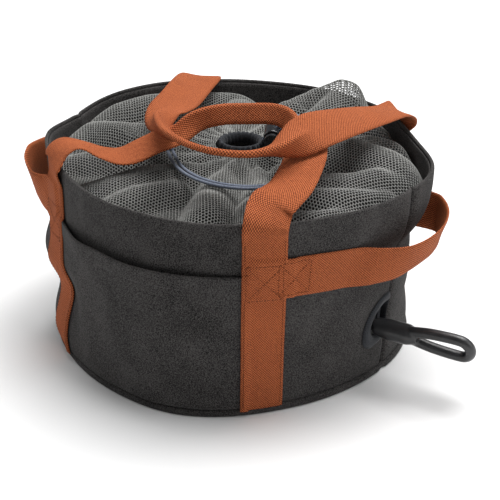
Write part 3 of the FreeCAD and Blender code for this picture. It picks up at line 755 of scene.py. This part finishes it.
# ---------------------------------------------------------------- rope and its eye
ROPE_DIAMETER = 10.0
ROPE_LEAD = ((173, -27, 54), (157, -27, 54), (141, -24.5, 52), (127, -16, 48.5), (116, -3, 44),
             (109, 13, 39))
COIL_SLOTS = ((110, 44), (98.5, 44.5), (87, 44.5), (87, 33), (98.5, 33), (110, 33), (121, 33),
              (121, 21.5), (110, 21.5), (98.5, 21.5), (87, 21.5), (87, 10.5), (98.5, 10.5), (110, 10.5),
              (121, 10.5))
TURN_POINTS = 16


def coil_points():
    """The put-away rope: neat turns side by side and on each other in the bag."""
    start = math.atan2(13, 109)
    out = []
    count = len(COIL_SLOTS) * TURN_POINTS
    for i in range(2, count):
        turns = i / TURN_POINTS
        slot = int(turns)
        share = float(smoothstep(turns - slot, 0.55, 1.0))
        here, there = COIL_SLOTS[slot], COIL_SLOTS[min(slot + 1, len(COIL_SLOTS) - 1)]
        radius = (here[0] * (1 - share) + there[0] * share) * 1.006
        height = here[1] * (1 - share) + there[1] * share
        angle = start + turns * 2 * math.pi
        out.append((radius * math.cos(angle), radius * math.sin(angle), height))
    return out


def build_rope():
    points = list(ROPE_LEAD) + coil_points()
    rope = cord_curve("rope_line", points, ROPE_DIAMETER, ROPE, ["rope_lead", "rope_coil"])
    eye = build_eye()


def tube_mesh(line, radii, sides):
    """Points and faces of a closed round tube along a line."""
    line = np.asarray(line, float)
    rings = unit_rings(unit(np.gradient(line, axis=0)), (0.05, -0.94, -0.33), sides)
    points = line[:, None] + np.broadcast_to(np.asarray(radii, float), len(line))[:, None, None] * rings
    return points.reshape(-1, 3), sweep_faces(len(line), sides)


def build_eye():
    """Rubber-dipped spliced eye: a neck that parts into two legs round an open tip."""
    root = np.array((173.0, -27.0, 54.0))
    ahead = np.array((1.0, 0, 0))
    wide = unit((0, -0.35, 0.94))
    neck = through([root + x * ahead for x in (-12, 0, 10, 20, 30)], 6)
    neck_radii = np.interp(np.linspace(0, 1, len(neck)), (0, 0.3, 0.75, 1), (8.0, 9.8, 9.6, 6.5))
    half = 9.8
    spread = ((8, 2.0), (22, 4.6), (40, 8.6), (56, 10.2))
    leg = [root + x * ahead + y * wide for x, y in spread]
    tip = [root + (69 + half * math.sin(a)) * ahead + (half + 0.6) * math.cos(a) * wide
           for a in np.radians((0, 30, 60, 90, 120, 150, 180))]
    other_leg = [root + x * ahead - y * wide for x, y in spread[::-1]]
    shapes = (tube_mesh(neck, neck_radii, 20), tube_mesh(through(leg + tip + other_leg, 8), 5.0, 20))
    points = np.vstack([s[0] for s in shapes])
    faces = shapes[0][1] + [[i + len(shapes[0][0]) for i in f] for f in shapes[1][1]]
    piece = mesh_object("rope_eye_rubber", points, faces)
    remesh = piece.modifiers.new("merge", "REMESH")
    remesh.mode = "VOXEL"
    remesh.voxel_size = 0.0009
    smooth = piece.modifiers.new("soften", "SMOOTH")
    smooth.factor = 0.6
    smooth.iterations = 8
    bpy.context.view_layer.update()
    merged = bpy.data.meshes.new_from_object(piece.evaluated_get(bpy.context.evaluated_depsgraph_get()))
    piece.modifiers.clear()
    piece.data = merged
    merged.shade_smooth()
    return finish_piece(piece, RUBBER, "bag", ["rope_eye"])


def build_port():
    """Ribbed tape folded over the edge of the port, pulled open on its front side by the rope."""
    t = full_turn(96)
    section = ((0.86, 1.4), (0.98, 2.6), (1.12, 2.8), (1.30, 1.2), (1.28, 0.2), (1.0, -0.3), (0.99, -3.0),
               (1.2, -3.4), (1.18, -4.6), (0.98, -4.8), (0.84, -3.6), (0.78, -1.0))
    rows = []
    for a in t:
        row = []
        front = max(0.0, -math.cos(a))
        for k, (scale, out) in enumerate(section):
            if 1 < k < 5:
                scale = scale + (0.12, 0.30, 0.30)[k - 2] * front
            rise = PORT_TALL * scale * math.sin(a)
            sideways = PORT_WIDE * scale * math.cos(a) + PORT_SHIFT + PORT_LEAN * rise
            sideways = min(sideways, 12.0 + 1.5 * scale)
            azimuth = PORT_AZIMUTH + math.degrees(sideways / PORT_RADIUS)
            row.append(on_wall(azimuth, PORT_HEIGHT + rise, out))
        rows.append(row)
    uvs = np.stack(np.meshgrid(np.arange(len(section)) * 1.5, t * 17.5), -1)
    piece = sweep_object("port_bound_edge", np.array(rows), True, uvs)
    finish_piece(piece, TAPE, "bag", ["port_binding"])


# ---------------------------------------------------------------- gathered mesh top
THROAT = (2.0, 6.0, 186.0)
THROAT_RADIUS = 23.0
NET_SEAM = 162.0
NET_PITCH = 3.2
NET_HOLE = 0.76            # of the pitch
NET_LEVEL = 166.0          # where no fold lifts it
LOWEST = 160.0
SHARP = 0.5                # of the valleys between folds
# Crests of the folds: places and heights along each, and how wide it is.
CRESTS = (
    (((50, 22, 190), (87, 16, 197), (104, 32, 201), (126, 30, 200), (152, 30, 197), (170, 32, 190)), 22),
    (((60, -22, 184), (100, -34, 190), (129, -24, 193), (147, 0, 194), (168, 10, 189)), 17),
    (((78, -64, 183), (107, -58, 188), (134, -50, 190), (156, -32, 189), (168, -10, 184)), 15),
    (((100, -104, 183), (130, -88, 185), (154, -60, 183)), 14),
    (((-84, -126, 176), (-58, -112, 184), (-42, -90, 188), (-18, -65, 189), (6, -48, 187),
      (22, -34, 184)), 20),
    (((-44, -140, 178), (-30, -118, 183), (-8, -92, 183)), 16),
    (((46, -150, 180), (46, -130, 186), (38, -104, 188), (26, -74, 187), (14, -44, 184)), 17),
    (((88, -120, 184), (76, -96, 187), (62, -66, 185), (40, -34, 183)), 15),
    (((-150, -74, 178), (-166, -40, 183), (-174, 2, 188), (-160, 32, 194), (-142, 66, 194), (-122, 100, 190),
      (-84, 140, 186)), 20),
    (((-160, -8, 186), (-124, -14, 190), (-96, -8, 192), (-60, 2, 190), (-34, 8, 187)), 17),
    (((-132, -78, 178), (-100, -62, 184), (-68, -46, 187), (-36, -20, 185)), 17),
    (((-116, 60, 188), (-84, 40, 190), (-48, 34, 188), (-26, 22, 186)), 15),
    (((-66, 118, 184), (-40, 80, 187), (-20, 40, 186)), 18),
    (((-6, 112, 194), (20, 128, 208), (42, 142, 221), (52, 148, 223), (66, 138, 215), (80, 126, 202)), 16),
    (((48, 146, 221), (44, 108, 208), (34, 70, 196), (18, 36, 188)), 17),
    (((-22, 150, 182), (0, 96, 190), (4, 48, 188)), 16),
    (((84, 122, 196), (72, 86, 193), (48, 52, 190), (28, 28, 186)), 16),
    (((130, 92, 188), (104, 70, 192), (76, 44, 192), (34, 18, 187)), 15))


def fold_height(x, y, crest):
    """Height of one fold: it falls off with the squared distance from its crest."""
    points, width = crest
    best = np.full(x.shape, -1e9)
    for a, b in zip(points, points[1:]):
        dx, dy = b[0] - a[0], b[1] - a[1]
        t = np.clip(((x - a[0]) * dx + (y - a[1]) * dy) / (dx * dx + dy * dy), 0, 1)
        d2 = (x - a[0] - t * dx) ** 2 + (y - a[1] - t * dy) ** 2
        best = np.maximum(best, a[2] + (b[2] - a[2]) * t - 10 * d2 / width ** 2)
    return best


def seam_radius(azimuth):
    return wall(azimuth, NET_SEAM) - 6.2


def pressed(height, x, y, line, half, gap):
    """The surface kept a gap under what lies on it along a line, half as wide as half says."""
    cap = np.full(x.shape, 1e9)
    for px, py, pz in line:
        d = np.maximum(np.hypot(x - px, y - py) - half, 0)
        cap = np.minimum(cap, pz - gap + 0.035 * d * d)
    return -np.logaddexp(-SHARP * height, -SHARP * cap) / SHARP


class NetSurface:
    """Height of the gathered mesh over the plan, looked up in a fine grid."""

    def __init__(self, straps, cords):
        self.step = 1.25
        self.reach = 200.0
        ticks = np.arange(-self.reach, self.reach + self.step, self.step)
        x, y = np.meshgrid(ticks, ticks, indexing="ij")
        total = np.exp(SHARP * (NET_LEVEL - LOWEST)) * np.ones_like(x)
        for crest in CRESTS:
            total += np.exp(SHARP * (fold_height(x, y, crest) - LOWEST))
        height = LOWEST + np.log(total) / SHARP
        height += (0.6 * np.sin(x / 9.0 + 1.7 * np.sin(y / 23.0))
                   * np.sin(y / 11.0 + 1.1 * np.sin(x / 19.0)))
        away = np.hypot(x - THROAT[0], y - THROAT[1])
        angle = np.arctan2(y - THROAT[1], x - THROAT[0])
        angle = angle + 0.22 * np.sin(2 * angle + 1) + 0.06 * np.sin(5 * angle) + 0.002 * away
        pleat = np.abs(np.cos(9.5 * angle)) - 0.6
        height += 6.0 * pleat * smoothstep(away, 21, 34) * (1 - smoothstep(away, 40, 92))
        for line, half, gap in straps:
            height = pressed(height, x, y, line, half, gap)
        for line in cords:
            height = pressed(height, x, y, line, 3.0, 2.0)
        near = smoothstep(away, THROAT_RADIUS - 2, THROAT_RADIUS + 26)
        height = (THROAT[2] + 1.0) * (1 - near) + height * near
        share = np.hypot(x, y) / seam_radius(azimuth_of(x, y))
        edge = np.clip(1 - np.clip(share, 0, 1) ** 15, 0, 1) ** 0.6
        self.height = NET_SEAM + edge * (height - NET_SEAM)
        self.slope_x, self.slope_y = np.gradient(self.height, self.step)

    def look(self, field, x, y):
        return bilinear(field, (x + self.reach) / self.step, (y + self.reach) / self.step)


def all_kept(*corners):
    """Rows of corner numbers, without those that have a corner outside the net."""
    rows = np.stack([corner.ravel() for corner in corners], -1)
    return rows[(rows >= 0).all(1)]


def spread_net(surface):
    """Knots of the knitted mesh: a regular lattice drawn even over the folds."""
    plan_pitch = NET_PITCH * 0.845
    rows = int(205 / (plan_pitch * 0.866))
    j, i = np.meshgrid(np.arange(-rows, rows + 1), np.arange(-rows - 4, rows + 5), indexing="ij")
    x = (i + 0.5 * (j % 2)) * plan_pitch
    y = j * plan_pitch * math.sqrt(3) / 2
    share = np.hypot(x, y) / seam_radius(azimuth_of(x, y))
    away = np.hypot(x - THROAT[0], y - THROAT[1])
    keep = (share < 0.995) & (away > THROAT_RADIUS * 0.86)
    index = np.full(x.shape, -1)
    index[keep] = np.arange(keep.sum())
    x, y = x[keep], y[keep]
    height, width = index.shape
    r, c = np.arange(height - 1)[:, None], np.arange(2, width - 2)[None, :]
    up = c + (j % 2)[:-1, :1]
    here, beside, above, above_left = index[r, c], index[r, c + 1], index[r + 1, up], index[r + 1, up - 1]
    pairs = np.vstack([all_kept(here, other) for other in (beside, above, above_left)])
    triangles = np.vstack([all_kept(here, beside, above), all_kept(here, above, above_left)])
    count = len(x)
    links = np.bincount(pairs.ravel(), minlength=count)
    edge = links < 6
    away = np.hypot(x - THROAT[0], y - THROAT[1])
    outer, inner = edge & (away > 60), edge & (away <= 60)
    a, b = pairs.T
    for _ in range(220):
        z = surface.look(surface.height, x, y)
        dx, dy, dz = x[b] - x[a], y[b] - y[a], z[b] - z[a]
        length = np.sqrt(dx * dx + dy * dy + dz * dz)
        pull = (length - NET_PITCH) / length * 0.5
        for values, diff in ((x, dx), (y, dy)):
            move = np.bincount(a, pull * diff, count) - np.bincount(b, pull * diff, count)
            values += 0.38 * move
        azimuth = azimuth_of(x, y)
        limit = seam_radius(azimuth)
        radius = np.hypot(x, y)
        scale = np.where(outer | (radius > limit), limit / radius, 1.0)
        x *= scale
        y *= scale
        from_x, from_y = x - THROAT[0], y - THROAT[1]
        away = np.hypot(from_x, from_y)
        scale = np.where(inner | (away < THROAT_RADIUS), THROAT_RADIUS / away, 1.0)
        x, y = THROAT[0] + from_x * scale, THROAT[1] + from_y * scale
    z = surface.look(surface.height, x, y)
    normal = unit(np.stack([-surface.look(surface.slope_x, x, y), -surface.look(surface.slope_y, x, y),
                            np.ones_like(x)], -1))
    return np.stack([x, y, z], -1), normal, triangles, ~edge


def build_net(surface):
    """Hexagonal net with a real hole at every knot, in four panels."""
    knots, normals, triangles, whole = spread_net(surface)
    centres = knots[triangles].mean(1)
    lifts = unit(normals[triangles].sum(1))
    around_knot = [[] for _ in range(len(knots))]
    for t, trio in enumerate(triangles):
        for v in trio:
            around_knot[v].append(t)
    cells = []
    for v in np.nonzero(whole)[0]:
        ring = around_knot[v]
        if len(ring) != 6:
            continue
        rel = centres[ring] - knots[v]
        order = np.argsort(np.arctan2(rel[:, 1], rel[:, 0]))
        cells.append((v, [ring[k] for k in order]))
    panel_of = {v: int(((azimuth_of(knots[v, 0], knots[v, 1]) + 225) % 360) // 90) for v, _ in cells}
    for number, panel_name in enumerate(("left", "front", "right", "back")):
        used, points, faces, uvs = {}, [], [], []

        def corner(t):
            if t not in used:
                used[t] = len(points)
                points.append(centres[t] + lifts[t] * 0.22)
                uvs.append(centres[t][:2])
            return used[t]

        for v, ring in cells:
            if panel_of[v] != number:
                continue
            outer = [corner(t) for t in ring]
            first = len(points)
            for t in ring:
                points.append(knots[v] + NET_HOLE * (centres[t] - knots[v]) - lifts[t] * 0.12)
                uvs.append(points[-1][:2])
            for k in range(6):
                k2 = (k + 1) % 6
                faces.append((outer[k], outer[k2], first + k2, first + k))
        name = "mesh_panel_" + panel_name
        piece = mesh_object(name, points, faces, uvs)
        solid = piece.modifiers.new("yarn", "SOLIDIFY")
        solid.thickness = 0.0006
        solid.offset = 0
        finish_piece(piece, NET, "bag", ["mesh_top"] if number == 0 else [])


HEM_RADIUS = 18.6
HEM_FLAT = 2.7
HEM_TALL = 5.2
HEM_LEAN = 0.12


def build_channel():
    """Gathered hem round the throat, puckered on its cord."""
    turn, section = full_turn(288), full_turn(24)
    t, s = turn[:, None], section[None, :]
    pucker = 0.55 * np.sin(26 * t + 0.8 * np.sin(3 * t)) + 0.35 * np.sin(17 * t + 1)
    flat = (HEM_FLAT + 0.6 * pucker) * np.cos(s)
    tall = HEM_TALL * np.sin(s) * (1 + 0.1 * pucker)
    radius = HEM_RADIUS + flat + HEM_LEAN * tall + 0.9 * pucker
    points = np.stack([radius * np.cos(t), radius * np.sin(t), tall + 0.5], -1) + THROAT
    uvs = np.stack(np.meshgrid(section * 3.4, turn * 19.0), -1)
    piece = sweep_object("drawcord_hem", points, True, uvs)
    finish_piece(piece, TAPE, "bag", ["drawcord_channel"])


# ---------------------------------------------------------------- camera, floor and light
LAMPS = (("top", (0.2, 1.0, 3.5), 2.6, 205.0), ("right", (2.6, 0.3, 1.3), 2.0, 22.0),
         ("left", (-2.6, -0.7, 1.3), 2.0, 22.0))


def aimed(name, data, place, ahead):
    """A camera or lamp at a place, looking ahead."""
    made = in_scene(name, data)
    made.location = place
    made.rotation_mode = "QUATERNION"
    made.rotation_quaternion = ahead.to_track_quat("-Z", "Y")
    return made


def build_stage():
    azimuth, elevation, distance = math.radians(30.0), math.radians(25.96), 1.25
    target = Vector((0.01134, 0.00655, 0.0792))
    back = Vector((math.sin(azimuth) * math.cos(elevation), -math.cos(azimuth) * math.cos(elevation),
                   math.sin(elevation)))
    data = bpy.data.cameras.new("camera")
    data.sensor_width = 36.0
    data.lens = 93.5
    bpy.context.scene.camera = aimed("camera", data, target + back * distance, -back)
    world = bpy.data.worlds.new("studio")
    world.use_nodes = True
    world.node_tree.nodes["Background"].inputs["Color"].default_value = (1, 1, 1, 1)
    world.node_tree.nodes["Background"].inputs["Strength"].default_value = 0.2
    bpy.context.scene.world = world
    bpy.context.scene.view_settings.view_transform = "Standard"
    for name, place, size, power in LAMPS:
        light = bpy.data.lights.new(name, "AREA")
        light.size = size
        light.energy = power
        aimed(name, light, place, Vector((0, 0, 0.1)) - Vector(place))
    far = 6000
    floor = mesh_object("floor", [(-far, -far, 0), (far, -far, 0), (far, far, 0), (-far, far, 0)],
                        [(0, 1, 2, 3)])
    pale, _, shader = new_material("pale_floor")
    shader.inputs["Base Color"].default_value = (0.84, 0.84, 0.84, 1)
    shader.inputs["Roughness"].default_value = 0.9
    floor.data.materials.append(pale)


def repaint(names, material):
    """Give CAD nodes that stay in view their finish."""
    for name in names:
        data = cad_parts[name].data
        data.materials.clear()
        data.materials.append(material)


build_stage()
build_drawcord()
build_rope()
build_shell()
build_pocket()
build_port()
handles = build_carry_handles()
build_grab_handles()
straps = []
for handle_name in ("front", "back"):
    middle = handles[handle_name][1]["middle"]
    inside = np.hypot(middle[:, 0], middle[:, 1]) < 176
    straps.append((middle[inside & (middle[:, 2] > 186)][::4], 17.0, 2.6))
cords = [strand_points(sign)[6:] for sign in (-1, 1)]
net_surface = NetSurface(straps, [evenly(through(line, 8), 4.0)[0] for line in cords])
build_net(net_surface)
build_channel()
repaint(("cord_lock_body", "cord_lock_button"), PLASTIC)
repaint(("cord_lock_spring",), STEEL)
repaint(("drawcord_loop",), CORD)
repaint(("base_board",), BOARD)
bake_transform(handles["front"][0])
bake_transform(handles["back"][0])
